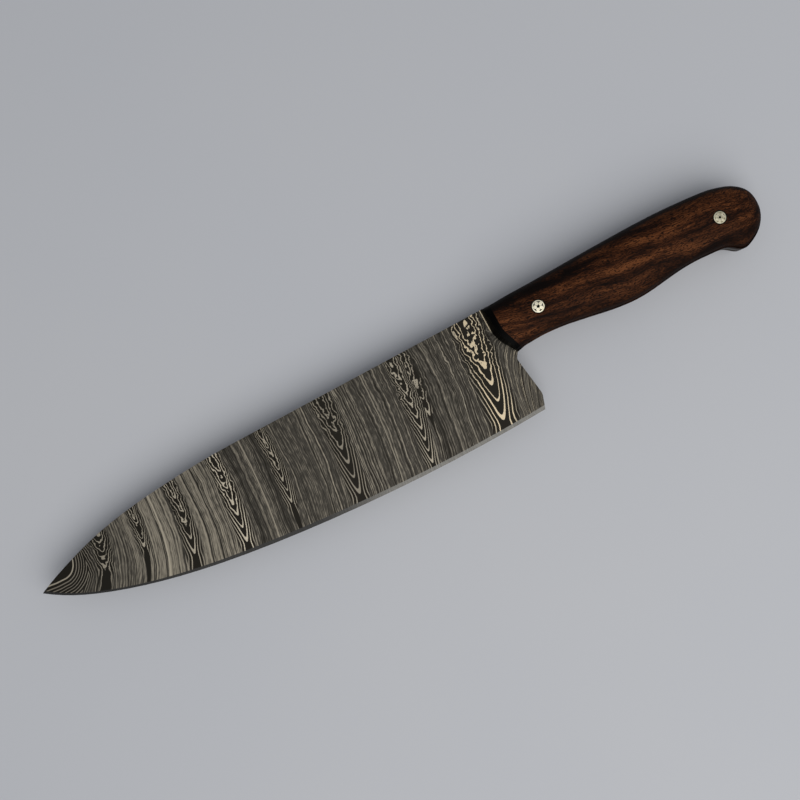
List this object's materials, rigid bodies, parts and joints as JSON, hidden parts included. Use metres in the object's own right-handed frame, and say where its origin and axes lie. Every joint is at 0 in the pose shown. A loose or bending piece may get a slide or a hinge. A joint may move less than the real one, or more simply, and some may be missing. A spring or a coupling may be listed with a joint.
{
  "type": "chef's knife",
  "caption": "Full-tang chef's knife with a ladder-pattern Damascus blade, black bolsters and dark wooden scales held by mosaic pins.",
  "frame": {"origin": "middle of the underside of the knife's box, as it lies on its right side", "axes": "+X from the tip to the butt, +Y from the cutting edge to the spine, +Z out of the blade's left side"},
  "size_m": [0.3176, 0.048, 0.0212],
  "materials": {
    "damascus_steel": "satin",
    "black_bolster": "gloss",
    "handle_wood": "satin",
    "pin_brass": "polished",
    "pin_resin": "gloss",
    "glue_line": "satin"
  },
  "bodies": {
    "root": {"blade": "damascus_steel", "bolster_left": "black_bolster", "bolster_right": "black_bolster", "scale_left": "handle_wood", "scale_right": "handle_wood", "front_pin_sleeve": "pin_brass", "front_pin_rods": "pin_brass", "front_pin_resin": "pin_resin", "front_pin_glue": "glue_line", "rear_pin_sleeve": "pin_brass", "rear_pin_rods": "pin_brass", "rear_pin_core": "pin_brass", "rear_pin_resin": "pin_resin", "rear_pin_glue": "glue_line"}
  },
  "joints": []
}
